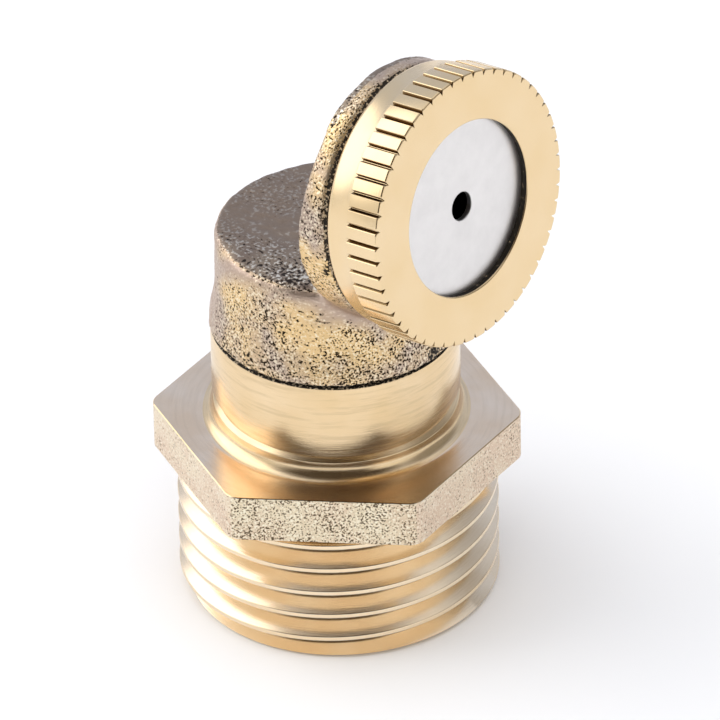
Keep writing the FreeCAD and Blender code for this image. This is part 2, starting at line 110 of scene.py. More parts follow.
room = bpy.data.worlds.new("room")
bpy.context.scene.world = room
room.use_nodes = True
room_nodes = room.node_tree.nodes
room_links = room.node_tree.links
room_way = room_nodes.new("ShaderNodeTexCoord")
room_light = room_nodes["Background"].inputs["Color"]
room_colour = None
for azimuth, elevation, half_width, softness, colour in ROOM_PATCHES:
    facing = room_nodes.new("ShaderNodeVectorMath")
    facing.operation = "DOT_PRODUCT"
    facing.inputs[1].default_value = towards(azimuth, elevation)
    room_links.new(room_way.outputs["Generated"], facing.inputs[0])
    share = room_nodes.new("ShaderNodeMapRange")
    share.interpolation_type = "SMOOTHSTEP"
    share.inputs["From Min"].default_value = math.cos(math.radians(half_width + softness / 2))
    share.inputs["From Max"].default_value = math.cos(math.radians(half_width - softness / 2))
    room_links.new(facing.outputs["Value"], share.inputs["Value"])
    patch = room_nodes.new("ShaderNodeMix")
    patch.data_type = "RGBA"
    patch.inputs["A"].default_value = (ROOM_GREY, ROOM_GREY, ROOM_GREY, 1)
    patch.inputs["B"].default_value = (*colour, 1)
    room_links.new(share.outputs["Result"], patch.inputs["Factor"])
    if room_colour:
        room_links.new(room_colour, patch.inputs["A"])
    room_colour = patch.outputs["Result"]
room_links.new(room_colour, room_light)

lamp_data = bpy.data.lights.new("table_lamp", "AREA")
lamp_data.size = LAMP_SIZE
lamp_data.energy = LAMP_WATTS
lamp = bpy.data.objects.new("table_lamp", lamp_data)
lamp.location = LAMP_PLACE
lamp.rotation_euler = (LOOK_AT - LAMP_PLACE).to_track_quat("-Z", "Y").to_euler()
lamp.visible_glossy = False
bpy.context.scene.collection.objects.link(lamp)


# ---- The threaded foot: pipe thread, hexagon and neck -------------------------------------------------
# The lower half of the brass casting.  The thread, the top of the hexagon and the neck are turned bright on
# a lathe; the six flats keep the grain of the sand they were cast in.  The inlet is bored up the middle.
THREAD_MAJOR = 10.4775
THREAD_PITCH = 1.814
THREAD_DEPTH = 1.162
THREAD_ROUND = 0.249
THREAD_GROOVE_Z = -0.70
THREAD_FLANK = math.radians(27.5)
THREAD_TURNS = 8
CREST_ROUND = 0.08
CREST_LAND = 0.2
END_FACE_R = 9.78
END_CHAMFER = 0.56
BLANK_R = 10.65

HEX_BASE = 9.45
HEX_TOP = 12.77
HEX_CORNER = 12.15
HEX_TURN = 35.18
HEX_ROUND = 1.1
HEX_EDGE = 0.05

NECK_FOOT = 8.0
FOOT_FILLET = 0.95
NECK_R = 8.07
NECK_TOP = 19.8
NECK_EDGE = 0.1
GROOVE_R = 7.7
GROOVE_LOW = 14.0
GROOVE_HIGH = 15.0
GROOVE_EDGE = 0.08
SEAM_R = 7.6

INLET_R = 7.2
INLET_CHAMFER = 0.3
INLET_END = 7.6
RING_GROOVE_R = 7.65
RING_GROOVE = (5.6, 6.5)
STEM_BORE_R = 5.6
STEM_BORE_END = 19.5

SPOKES = 144
# how close two points are, in metres, before they are one point, or a point is on a cut
SAME_POINT = 1e-7
ON_THE_CUT = 1e-8


def arc(centre_x, centre_y, radius, first, last, steps):
    """Points on a circle, from one angle to the other, in degrees anticlockwise from the first axis."""
    points = []
    for i in range(steps + 1):
        angle = math.radians(first + (last - first) * i / steps)
        points.append((centre_x + radius * math.cos(angle), centre_y + radius * math.sin(angle)))
    return points


def pick_up(piece):
    """Makes a piece the only one selected, and the active one."""
    bpy.ops.object.select_all(action="DESELECT")
    bpy.context.view_layer.objects.active = piece
    piece.select_set(True)


def draw_line(name, points, closed=False):
    """A chain of edges through (radius, height) points in millimetres, drawn by extruding one vertex."""
    bpy.ops.object.select_all(action="DESELECT")
    bpy.ops.mesh.primitive_plane_add(size=MM, location=(0, 0, 0))
    piece = bpy.context.object
    piece.name = name
    bpy.ops.object.mode_set(mode="EDIT")
    bpy.ops.mesh.select_mode(type="VERT")
    bpy.ops.mesh.merge(type="CENTER")
    before = (0.0, 0.0)
    for i, (x, z) in enumerate(points):
        step = ((x - before[0]) * MM, 0, (z - before[1]) * MM)
        if i == 0:
            bpy.ops.transform.translate(value=step)
        else:
            bpy.ops.mesh.extrude_region_move(TRANSFORM_OT_translate={"value": step})
        before = (x, z)
    if closed:
        bpy.ops.mesh.select_all(action="DESELECT")
        bpy.ops.object.mode_set(mode="OBJECT")
        piece.data.vertices[0].select = True
        piece.data.vertices[len(points) - 1].select = True
        bpy.ops.object.mode_set(mode="EDIT")
        bpy.ops.mesh.edge_face_add()
    bpy.ops.object.mode_set(mode="OBJECT")
    return piece


def close_shell(piece):
    """Merges what meets and turns every face outwards."""
    pick_up(piece)
    bpy.ops.object.mode_set(mode="EDIT")
    bpy.ops.mesh.select_all(action="SELECT")
    bpy.ops.mesh.remove_doubles(threshold=SAME_POINT)
    bpy.ops.mesh.normals_make_consistent(inside=False)
    bpy.ops.object.mode_set(mode="OBJECT")


def turn(name, points, spokes=SPOKES):
    """A turned solid.  The outline runs from the axis to the axis, or is a closed ring clear of it."""
    ring = points[0][0] > 0
    piece = draw_line(name, points, closed=ring)
    bpy.ops.object.mode_set(mode="EDIT")
    bpy.ops.mesh.select_all(action="SELECT")
    bpy.ops.mesh.spin(steps=spokes, angle=2 * math.pi, center=(0, 0, 0), axis=(0, 0, 1))
    bpy.ops.object.mode_set(mode="OBJECT")
    close_shell(piece)
    return piece


def apply_modifier(piece, kind, **settings):
    """Adds one modifier with those settings and applies it."""
    modifier = piece.modifiers.new(kind.lower(), kind)
    for setting, value in settings.items():
        setattr(modifier, setting, value)
    bpy.context.view_layer.objects.active = piece
    bpy.ops.object.modifier_apply(modifier=modifier.name)


def combine(piece, other, operation):
    """Joins, cuts or trims a piece with another solid, which is used up."""
    apply_modifier(piece, "BOOLEAN", operation=operation, solver="MANIFOLD", object=other)
    bpy.data.objects.remove(other)


def smooth_by_angle(piece, degrees):
    """Shades a piece smoothly across every edge that bends less than an angle."""
    pick_up(piece)
    bpy.ops.object.shade_smooth_by_angle(angle=math.radians(degrees))


def cut_level(piece, height, keep_above):
    """Cuts a piece level at a height and closes the cut."""
    pick_up(piece)
    bpy.ops.object.mode_set(mode="EDIT")
    bpy.ops.mesh.select_all(action="SELECT")
    bpy.ops.mesh.bisect(
        plane_co=(0, 0, height * MM), plane_no=(0, 0, 1), use_fill=True,
        clear_inner=keep_above, clear_outer=not keep_above, threshold=ON_THE_CUT,
    )
    bpy.ops.object.mode_set(mode="OBJECT")


def screw_thread(name, root_r, crest_r, rounds, land, flank, pitch, groove_z, turns, ends):
    """A right-hand thread, cut level at both ends: one pitch of outline, with a round root and a narrow flat
    crest, swept up for some turns.  The rounds are the root's radius and that of the crest's two edges."""
    lean = 90 - math.degrees(flank)
    root_round, crest_round = rounds
    root = arc(root_r + root_round, groove_z, -root_round, lean, -lean, 5)
    middle = groove_z + pitch / 2
    crest = (
        arc(crest_r - crest_round, middle - land / 2, crest_round, -lean, 0, 3)
        + arc(crest_r - crest_round, middle + land / 2, crest_round, 0, lean, 3)
    )
    piece = draw_line(name, root + crest + [(root[0][0], root[0][1] + pitch)])
    apply_modifier(
        piece, "SCREW", angle=2 * math.pi, screw_offset=pitch * MM, iterations=turns,
        steps=SPOKES, render_steps=SPOKES, use_merge_vertices=True, merge_threshold=SAME_POINT,
    )
    close_shell(piece)
    low, high = ends
    cut_level(piece, low, keep_above=True)
    cut_level(piece, high, keep_above=False)
    close_shell(piece)
    return piece


foot = screw_thread(
    "threaded_foot", THREAD_MAJOR - THREAD_DEPTH, THREAD_MAJOR, (THREAD_ROUND, CREST_ROUND), CREST_LAND,
    THREAD_FLANK, THREAD_PITCH, THREAD_GROOVE_Z - THREAD_PITCH, THREAD_TURNS, ends=(-0.5, HEX_BASE + 0.5),
)
combine(foot, turn("blank", [
    (0, 0), (END_FACE_R, 0.0), (BLANK_R, END_CHAMFER), (BLANK_R, HEX_BASE + 1), (0, HEX_BASE + 1),
]), "INTERSECT")

bpy.ops.object.select_all(action="DESELECT")
bpy.ops.mesh.primitive_cylinder_add(
    vertices=6, radius=HEX_CORNER * MM, depth=(HEX_TOP - HEX_BASE) * MM,
    location=(0, 0, (HEX_TOP + HEX_BASE) / 2 * MM), rotation=(0, 0, math.radians(HEX_TURN - 90)),
)
hexagon = bpy.context.object
bpy.ops.object.transform_apply(location=True, rotation=True, scale=True)
bpy.ops.object.mode_set(mode="EDIT")
bpy.ops.mesh.select_mode(type="EDGE")
bpy.ops.mesh.select_all(action="DESELECT")
bpy.ops.object.mode_set(mode="OBJECT")
for edge in hexagon.data.edges:
    low, high = (hexagon.data.vertices[i].co for i in edge.vertices)
    edge.select = abs(low.z - high.z) > MM
bpy.ops.object.mode_set(mode="EDIT")
bpy.ops.mesh.bevel(offset=HEX_ROUND * math.tan(math.radians(30)) * MM, segments=8, affect="EDGES")
bpy.ops.object.mode_set(mode="OBJECT")
apply_modifier(
    hexagon, "BEVEL", width=HEX_EDGE * MM, segments=1, limit_method="ANGLE", angle_limit=math.radians(60),
)
combine(foot, hexagon, "UNION")

combine(foot, turn("neck", (
    [(0, HEX_TOP - 1), (NECK_FOOT + FOOT_FILLET, HEX_TOP - 1)]
    + arc(NECK_FOOT + FOOT_FILLET, HEX_TOP + FOOT_FILLET, FOOT_FILLET, 270, 180, 12)
    + arc(NECK_FOOT - GROOVE_EDGE, GROOVE_LOW - GROOVE_EDGE, GROOVE_EDGE, 0, 60, 3)
    + [(GROOVE_R, GROOVE_LOW + 0.2), (GROOVE_R, GROOVE_HIGH - 0.25)]
    + arc(NECK_R - GROOVE_EDGE, GROOVE_HIGH, GROOVE_EDGE, -60, 0, 3)
    + arc(NECK_R - NECK_EDGE, NECK_TOP - NECK_EDGE, NECK_EDGE, 0, 90, 4)
    + [(SEAM_R, NECK_TOP), (SEAM_R, NECK_TOP + 0.5), (0, NECK_TOP + 0.5)]
)), "UNION")

combine(foot, turn("bore", [
    (0, -1), (INLET_R + INLET_CHAMFER, -1), (INLET_R + INLET_CHAMFER, 0), (INLET_R, INLET_CHAMFER),
    (INLET_R, RING_GROOVE[0]), (RING_GROOVE_R, RING_GROOVE[0]),
    (RING_GROOVE_R, RING_GROOVE[1]), (INLET_R, RING_GROOVE[1]),
    (INLET_R, INLET_END), (STEM_BORE_R, INLET_END), (STEM_BORE_R, STEM_BORE_END), (0, STEM_BORE_END + 0.1),
]), "DIFFERENCE")
close_shell(foot)
smooth_by_angle(foot, 28)


def new_finish(name, colour, metallic, roughness):
    """A finish of one colour and one gloss, for the caller to work grain, lines or specks into."""
    finish = bpy.data.materials.new(name)
    finish.use_nodes = True
    shader = finish.node_tree.nodes["Principled BSDF"]
    shader.inputs["Base Color"].default_value = (*colour, 1)
    shader.inputs["Metallic"].default_value = metallic
    shader.inputs["Roughness"].default_value = roughness
    return finish


def put_on(piece, *finishes):
    """Gives a piece its finishes, in the order that its faces count them in."""
    piece.data.materials.clear()
    for finish in finishes:
        piece.data.materials.append(finish)


def add_node(finish, kind, sockets, **settings):
    """Adds a shader node, and sets or links its sockets.  Returns the first of its outputs that is live."""
    tree = finish.node_tree
    made = tree.nodes.new("ShaderNode" + kind)
    for setting, value in settings.items():
        setattr(made, setting, value)
    for socket, value in sockets.items():
        if isinstance(value, bpy.types.NodeSocket):
            tree.links.new(value, made.inputs[socket])
        else:
            made.inputs[socket].default_value = value
    return next(output for output in made.outputs if output.enabled)


def noise(finish, place, scale, detail, roughness=0.5):
    """Cloudy noise between 0 and 1, with that many lumps to the metre."""
    return add_node(
        finish, "TexNoise", {"Vector": place, "Scale": scale, "Detail": detail, "Roughness": roughness},
    )


def spread(finish, value, low, high, to_low=0.0, to_high=1.0):
    """Stretches the part of a value between two levels over another range, and holds it there outside."""
    return add_node(finish, "MapRange", {
        "Value": value, "From Min": low, "From Max": high, "To Min": to_low, "To Max": to_high,
    })


def blend_colours(finish, share, first, second):
    """A mix of two colours, each a fixed colour or a socket."""
    ends = [end if isinstance(end, bpy.types.NodeSocket) else (*end, 1) for end in (first, second)]
    return add_node(finish, "Mix", {"Factor": share, "A": ends[0], "B": ends[1]}, data_type="RGBA")


def work_out(finish, operation, first, second=0.0):
    """The result of one sum in the shader, of fixed values or sockets."""
    return add_node(finish, "Math", {0: first, 1: second}, operation=operation)


def link_shader(finish, socket, value):
    """Lets a value drive one input of the finish's shader."""
    finish.node_tree.links.new(value, finish.node_tree.nodes["Principled BSDF"].inputs[socket])


def roughen(finish, height, strength, depth_mm):
    """Raises and sinks the surface by a height between 0 and 1, times the depth."""
    bump = add_node(finish, "Bump", {"Height": height, "Strength": strength, "Distance": depth_mm * MM})
    link_shader(finish, "Normal", bump)


# the head's place: the middle of the cap's front face, and the turn that takes +Z to the spray axis
HEAD = Vector((11.345, 0, 33.076)) * MM
SPRAY_RISE = 8.19
HEAD_TURN = Euler((0, math.radians(90 - SPRAY_RISE), 0))


def own_place(finish, laid_in_head=False):
    """A point's place on the piece, measured from the axis that the piece was turned about."""
    coordinates = finish.node_tree.nodes.new("ShaderNodeTexCoord").outputs["Object"]
    if laid_in_head:
        return add_node(
            finish, "Mapping", {"Vector": coordinates, "Location": HEAD, "Rotation": HEAD_TURN},
            vector_type="TEXTURE",
        )
    return coordinates


def turned_lines(finish, place, spacing_mm):
    """The fine rings that a lathe tool leaves, as a height between 0 and 1."""
    parts = finish.node_tree.nodes.new("ShaderNodeSeparateXYZ")
    finish.node_tree.links.new(place, parts.inputs[0])
    x, y, z = parts.outputs
    x_squared = work_out(finish, "MULTIPLY", x, x)
    y_squared = work_out(finish, "MULTIPLY", y, y)
    radius = work_out(finish, "SQRT", work_out(finish, "ADD", x_squared, y_squared))
    around = work_out(finish, "ARCTAN2", y, x)
    waver = work_out(finish, "MULTIPLY", around, 0.6 * MM)
    ring = add_node(finish, "CombineXYZ", {"X": radius, "Y": waver, "Z": z})
    return noise(finish, ring, 1 / (spacing_mm * MM), 3.0, 0.6)


def bright_brass(name, pale, deep, laid_in_head=False, roughness=(0.16, 0.30), scoring=0.0):
    """Brass straight from the lathe: mirror-like along the tool's rings, with a faint warm cloudiness.
    Scoring is how dark the coarser rings are, from 0 to 1."""
    finish = new_finish(name, pale, 1.0, 0.2)
    place = own_place(finish, laid_in_head)
    lines = turned_lines(finish, place, 0.09)
    clouds = noise(finish, place, 260.0, 3.0)
    colour = blend_colours(finish, spread(finish, clouds, 0.35, 0.65), pale, deep)
    if scoring:
        rings = turned_lines(finish, place, 0.24)
        scored = spread(finish, rings, 0.36, 0.52, scoring, 0.0)
        brown = [0.6 * part for part in deep]
        colour = blend_colours(finish, scored, colour, brown)
    link_shader(finish, "Base Color", colour)
    link_shader(finish, "Roughness", spread(finish, lines, 0.0, 1.0, *roughness))
    roughen(finish, lines, 0.5, 0.009)
    return finish


def sand_cast(name, light, deep, speck, glint_colour, specks, fineness, grain_mm, patch_colour=None):
    """Brass as it left the sand: a cloudy skin of two colours, dense with dark specks, and painted
    highlights of a pale glint colour on the highest grains.  Specks is the level that the dark fills up to.
    With a patch colour, the skin has coarse slanting scabs in places, and turns to that colour, with few
    specks and few painted highlights, where the piece's patch attribute rises to 1."""
    finish = new_finish(name, light, 1.0, 0.4)
    place = own_place(finish)
    clouds = noise(finish, place, 330.0, 2.0)
    skin = blend_colours(finish, spread(finish, clouds, 0.38, 0.62), light, deep)
    pits = noise(finish, place, fineness, 1.0)
    if patch_colour:
        slanted = add_node(finish, "Mapping", {
            "Vector": place, "Rotation": (0, 0.6, 0.3), "Scale": (1.0, 1.0, 2.2),
        })
        scabs = noise(finish, slanted, 0.36 * fineness, 2.0)
        where = noise(finish, place, 210.0, 1.0)
        share = spread(finish, where, 0.52, 0.64, to_high=0.7)
        pits = add_node(finish, "Mix", {"Factor": share, "A": pits, "B": scabs})
    crowd = noise(finish, place, 420.0, 2.0, 0.7)
    limit = spread(finish, crowd, 0.3, 0.7, specks - 0.07, specks + 0.05)
    # painted highlights: a pale colour on the highest grains stands in for the sparkle of light on them
    glint = spread(finish, pits, 0.56, 0.64, to_high=0.75)
    if patch_colour:
        reader = finish.node_tree.nodes.new("ShaderNodeAttribute")
        reader.attribute_name = "smooth_patch"
        smooth_patch = reader.outputs["Fac"]
        ease = work_out(finish, "MULTIPLY", smooth_patch, 0.16)
        limit = work_out(finish, "SUBTRACT", limit, ease)
        skin = blend_colours(finish, smooth_patch, skin, patch_colour)
        outside_patch = spread(finish, smooth_patch, 0.0, 1.0, 1.0, 0.25)
        glint = work_out(finish, "MULTIPLY", glint, outside_patch)
    over = work_out(finish, "SUBTRACT", limit, pits)
    dark = spread(finish, over, -0.01, 0.06)
    lit = blend_colours(finish, glint, skin, glint_colour)
    link_shader(finish, "Base Color", blend_colours(finish, dark, lit, speck))
    link_shader(finish, "Roughness", spread(finish, pits, 0.3, 0.7, 0.62, 0.3))
    roughen(finish, pits, 1.0, grain_mm)
    return finish


def painted_gap_shade(name, bare_above=0.54):
    """Black painted shade for a narrow gap where shadow falls, broken by specks of bare brass where its
    noise is above a level.
    """
    black = (0.02, 0.015, 0.01)
    finish = new_finish(name, black, 0.3, 0.7)
    breakup = noise(finish, own_place(finish), 5200.0, 2.0)
    bare = spread(finish, breakup, bare_above, bare_above + 0.08)
    link_shader(finish, "Base Color", blend_colours(finish, bare, black, (0.55, 0.44, 0.30)))
    roughen(finish, breakup, 1.0, 0.04)
    return finish


BRASS_PALE = (0.84, 0.65, 0.41)
BRASS_DEEP = (0.78, 0.58, 0.33)
put_on(
    foot,
    bright_brass("turned_foot_brass", BRASS_PALE, BRASS_DEEP, scoring=0.3),
    sand_cast(
        "cast_flats", light=(0.80, 0.69, 0.50), deep=(0.74, 0.60, 0.43), speck=(0.14, 0.10, 0.06),
        glint_colour=(0.92, 0.87, 0.72), specks=0.44, fineness=7600.0, grain_mm=0.025,
    ),
    # painted shade for the seam's thin shadow line
    painted_gap_shade("seam_shade"),
    sand_cast(
        "worn_flats", light=(0.82, 0.70, 0.53), deep=(0.76, 0.60, 0.45), speck=(0.30, 0.22, 0.15),
        glint_colour=(0.90, 0.82, 0.68), specks=0.36, fineness=7600.0, grain_mm=0.02,
    ),
    bright_brass("thread_brass", (0.90, 0.75, 0.55), (0.87, 0.69, 0.47)),
    bright_brass("faced_brass", (0.85, 0.70, 0.54), (0.80, 0.62, 0.44), scoring=0.1),
)
TURNED, CAST_FLAT, SEAM_SHADE, WORN_FLAT, THREAD, FACED = range(6)
JUST_INSIDE_FLATS = 10.49
SEAM_BELOW = 0.06
for face in foot.data.polygons:
    centre = face.center / MM
    from_axis = math.hypot(centre.x, centre.y)
    flat = round((math.degrees(math.atan2(centre.y, centre.x)) - HEX_TURN - 30) / 60)
    on_a_flat = from_axis > JUST_INSIDE_FLATS and abs(face.normal.z) < 0.3
    finish = TURNED
    if centre.z < HEX_BASE:
        finish = THREAD
    if abs(centre.z - HEX_TOP) < 0.03 and face.normal.z > 0.9:
        finish = FACED
    if HEX_BASE < centre.z < HEX_TOP and on_a_flat:
        finish = CAST_FLAT if flat % 2 == 0 else WORN_FLAT
    # painted shade: black in the thin shadow line under the step where the cast head overhangs the neck
    if centre.z > NECK_TOP - SEAM_BELOW and from_axis > STEM_BORE_R + 0.4:
        finish = SEAM_SHADE
    face.material_index = finish
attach(foot, "nozzle")
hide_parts("nozzle_body")


# ---- The cast head: the round stem and the thick rim that the cap closes on ---------------------------
# The upper half of the same casting, left as it came from the sand.  The stem's flat top is the skin of the
# mould, coloured dark as painted shade and a painted reflection of the dim room, the rim runs down into
# the stem in a soft hollow, and the whole skin is lumpy and finely pitted.
STEM_FOOT = 20.0
STEM_FOOT_R = 8.14
STEM_R = 7.64
STEM_EDGE = 0.45
STEM_TOP = 26.96
RIM_R = 8.45
RIM_FRONT = -4.72
RIM_REBATE = 0.3
RIM_END = -8.6
RIM_BACK_X = 4.5
RIM_BACK_WAY = Vector((-0.99875, 0, -0.04994))
GRAIN_SIZE = 0.14
SIDE_HOLLOW = 1.7
TOP_HOLLOW = 0.9
# the side of the stem where the skin turns darker and smoother, and how far that reaches, in degrees round
# the stem
PATCH_SIDE = 218
PATCH_REACH = 21
# the flat top keeps its specks this way from the stem's axis, and turns darker and smoother the other way
TOP_ROUGH_WAY = Vector((0.35, -0.45, 0))
SPRAY = HEAD_TURN.to_matrix() @ Vector((0, 0, 1))


def lay_on_spray_axis(piece):
    """Takes a piece that was turned about +Z, with its front at height 0, to its place in the head."""
    pick_up(piece)
    piece.rotation_euler = HEAD_TURN
    piece.location = HEAD
    bpy.ops.object.transform_apply(location=True, rotation=True, scale=True)


head = turn("cast_head", (
    [(0, NECK_TOP), (SEAM_R, NECK_TOP), (SEAM_R, STEM_FOOT), (STEM_FOOT_R, STEM_FOOT)]
    + [(STEM_FOOT_R - 0.05, STEM_FOOT + 0.5), (STEM_R + 0.11, STEM_FOOT + 2.3)]
    + arc(STEM_R - STEM_EDGE, STEM_TOP - STEM_EDGE, STEM_EDGE, 0, 90, 5)
    + [(0, STEM_TOP)]
))
rim = turn("rim", [
    (0, RIM_END), (RIM_R, RIM_END), (RIM_R, RIM_FRONT - RIM_REBATE - 0.02),
    (RIM_R - RIM_REBATE, RIM_FRONT - RIM_REBATE), (RIM_R - RIM_REBATE, RIM_FRONT), (0, RIM_FRONT),
])
lay_on_spray_axis(rim)
bpy.ops.object.mode_set(mode="EDIT")
bpy.ops.mesh.select_all(action="SELECT")
bpy.ops.mesh.bisect(
    plane_co=(RIM_BACK_X * MM, 0, STEM_TOP * MM), plane_no=RIM_BACK_WAY, use_fill=True, clear_outer=True,
    threshold=ON_THE_CUT,
)
bpy.ops.object.mode_set(mode="OBJECT")
close_shell(rim)
combine(head, rim, "UNION")
apply_modifier(head, "REMESH", mode="VOXEL", voxel_size=GRAIN_SIZE * MM)
apply_modifier(head, "SMOOTH", factor=0.5, iterations=5)

hollow = head.vertex_groups.new(name="hollow")
smooth_patch = []
for vertex in head.data.vertices:
    spot = vertex.co / MM
    out = (vertex.co - HEAD) / MM
    off_rim = abs((out - SPRAY * out.dot(SPRAY)).length - RIM_R)
    off_stem = abs(math.hypot(spot.x, spot.y) - STEM_R - 0.06)
    near_side = max(off_rim, off_stem) / SIDE_HOLLOW
    near_top = max(abs(spot.x - RIM_BACK_X), abs(spot.z - STEM_TOP)) / TOP_HOLLOW
    near = min(near_side, near_top)
    if near < 1:
        hollow.add([vertex.index], min(1.0, 1.6 * (1 - near)), "REPLACE")
    around = math.degrees(math.atan2(spot.y, spot.x)) % 360
    patch_share = 1.2 - 1.9 * near_side
    if spot.z > STEM_TOP - 0.1:
        patch_share = 1.0 - (spot.dot(TOP_ROUGH_WAY) - 0.2) / 3.0
    elif off_stem < 0.9:
        patch_share = max(patch_share, 1.4 - abs(around - PATCH_SIDE) / PATCH_REACH)
    smooth_patch.append(max(0.0, min(1.0, patch_share)))
head.data.attributes.new("smooth_patch", "FLOAT", "POINT").data.foreach_set("value", smooth_patch)
apply_modifier(head, "SMOOTH", factor=0.8, iterations=60, vertex_group="hollow")

for texture_name, size_mm, height_mm in (("lumps", 2.6, 0.16), ("dents", 0.8, 0.07)):
    texture = bpy.data.textures.new(texture_name, "CLOUDS")
    texture.noise_scale = size_mm * MM
    texture.noise_depth = 2
    apply_modifier(
        head, "DISPLACE", texture=texture, texture_coords="LOCAL", strength=height_mm * MM, mid_level=0.5,
    )
smooth_by_angle(head, 60)
put_on(
    head,
    sand_cast(
        "cast_skin", light=(0.80, 0.58, 0.30), deep=(0.50, 0.39, 0.31), speck=(0.035, 0.025, 0.015),
        glint_colour=(0.90, 0.80, 0.60), specks=0.455, fineness=6600.0, grain_mm=0.05, patch_colour=(0.52, 0.40, 0.32),
    ),
    # painted shade and reflection: the flat top's dark skin
    sand_cast(
        "mould_skin_painted_dark", light=(0.40, 0.32, 0.23), deep=(0.24, 0.18, 0.14), speck=(0.04, 0.03, 0.025),
        glint_colour=(0.95, 0.88, 0.74), specks=0.47, fineness=4200.0, grain_mm=0.05, patch_colour=(0.29, 0.22, 0.165),
    ),
    # painted shade for the head's two shadow lines
    painted_gap_shade("head_gap_shade"),
)
CAST_SKIN, PAINTED_DARK_TOP, HEAD_GAP_SHADE = range(3)
for face in head.data.polygons:
    centre = face.center / MM
    ahead = (face.center - HEAD).dot(SPRAY) / MM
    finish = CAST_SKIN
    # painted shade and reflection: the flat top is coloured dark for the dim room it reflects and the head
    # that shades it, over the mould skin's own coarse pits
    if centre.z > STEM_TOP - 0.12 and centre.x < RIM_BACK_X - 0.1 and face.normal.z > 0.8:
        finish = PAINTED_DARK_TOP
    # painted shade: black at the stem's foot under the head's overhang, and on the rim's front band, for the
    # shadow line between rim and cap
    if centre.z < STEM_FOOT + 0.08 or ahead > RIM_FRONT - RIM_REBATE:
        finish = HEAD_GAP_SHADE
    face.material_index = finish
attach(head, "nozzle")
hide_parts("nozzle_body")


# ---- The spigot: the short male thread on the head ----------------------------------------------------
# Turned on the front of the casting, behind a narrow relief.  It shows only when the cap is screwed back.
SPIGOT_R = 7.45
SPIGOT_ROOT_R = 6.85
SPIGOT_BACK = -5.3
SPIGOT_FRONT = -2.11
SPIGOT_CHAMFER = 0.5
SPIGOT_BLANK_R = 7.6
RELIEF_R = 6.78
RELIEF_FRONT = RIM_FRONT + 0.6
CHAMBER_R = 4.7
CAP_PITCH = 1.0
CAP_TURNS = 7
CAP_FLANK = math.radians(30)
CAP_ROUNDS = (0.06, 0.03)
spigot = screw_thread(
    "spigot", SPIGOT_ROOT_R, SPIGOT_R, CAP_ROUNDS, 0.12, CAP_FLANK, CAP_PITCH,
    RELIEF_FRONT - 3 * CAP_PITCH, CAP_TURNS, ends=(-5.5, -1.9),
)
combine(spigot, turn("spigot_blank", [
    (CHAMBER_R, SPIGOT_BACK), (RELIEF_R, SPIGOT_BACK), (RELIEF_R, RELIEF_FRONT),
    (SPIGOT_BLANK_R, RELIEF_FRONT + 0.37), (SPIGOT_BLANK_R, SPIGOT_FRONT - SPIGOT_CHAMFER),
    (SPIGOT_BLANK_R - SPIGOT_CHAMFER, SPIGOT_FRONT), (CHAMBER_R, SPIGOT_FRONT),
]), "INTERSECT")
close_shell(spigot)
smooth_by_angle(spigot, 28)
lay_on_spray_axis(spigot)
put_on(spigot, bright_brass("spigot_brass", BRASS_PALE, BRASS_DEEP, laid_in_head=True))
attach(spigot, "nozzle")
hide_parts("nozzle_body")


# ---- The inlet strainer, its collar and the ring that holds it ----------------------------------------
# A thimble of perforated stainless sheet stands in the bore, with a flat brass collar behind its brim.  An
# open ring of spring steel snaps into a groove below it.
def satin_steel(name, colour, roughness, laid_in_head=False):
    """Sheet steel with a fine satin rub and faint smudges."""
    finish = new_finish(name, colour, 1.0, roughness)
    place = own_place(finish, laid_in_head)
    smudges = noise(finish, place, 700.0, 4.0, 0.65)
    darker = [0.95 * part for part in colour]
    tint = spread(finish, smudges, 0.35, 0.65)
    link_shader(finish, "Base Color", blend_colours(finish, tint, colour, darker))
    link_shader(finish, "Roughness", spread(finish, smudges, 0.0, 1.0, roughness - 0.04, roughness + 0.06))
    roughen(finish, noise(finish, place, 9000.0, 2.0), 0.4, 0.004)
    return finish


put_on(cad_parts["strainer_thimble"], satin_steel("strainer_sheet", (0.60, 0.60, 0.61), 0.34))
put_on(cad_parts["strainer_collar"], bright_brass("collar_brass", BRASS_PALE, BRASS_DEEP))
put_on(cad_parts["snap_ring"], satin_steel("spring_steel", (0.30, 0.29, 0.29), 0.30))


# ---- The core behind the disc, and its washer ---------------------------------------------------------
# A turned brass plug, coloured near black, whose slots spin the water, and a black rubber washer behind it.
CORE_BLACK = (0.05, 0.035, 0.02)
CORE_BLACKER = (0.03, 0.02, 0.012)


def black_rubber(name):
    """Moulded rubber: black, matt and finely grained."""
    finish = new_finish(name, (0.02, 0.02, 0.02), 0.0, 0.65)
    grain = noise(finish, own_place(finish), 6000.0, 3.0)
    link_shader(finish, "Roughness", spread(finish, grain, 0.0, 1.0, 0.5, 0.8))
    roughen(finish, grain, 0.5, 0.01)
    return finish


put_on(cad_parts["core_gasket"], black_rubber("washer_rubber"))
put_on(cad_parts["swirl_core"], bright_brass(
    "core_brass", CORE_BLACK, CORE_BLACKER, laid_in_head=True, roughness=(0.4, 0.6),
))


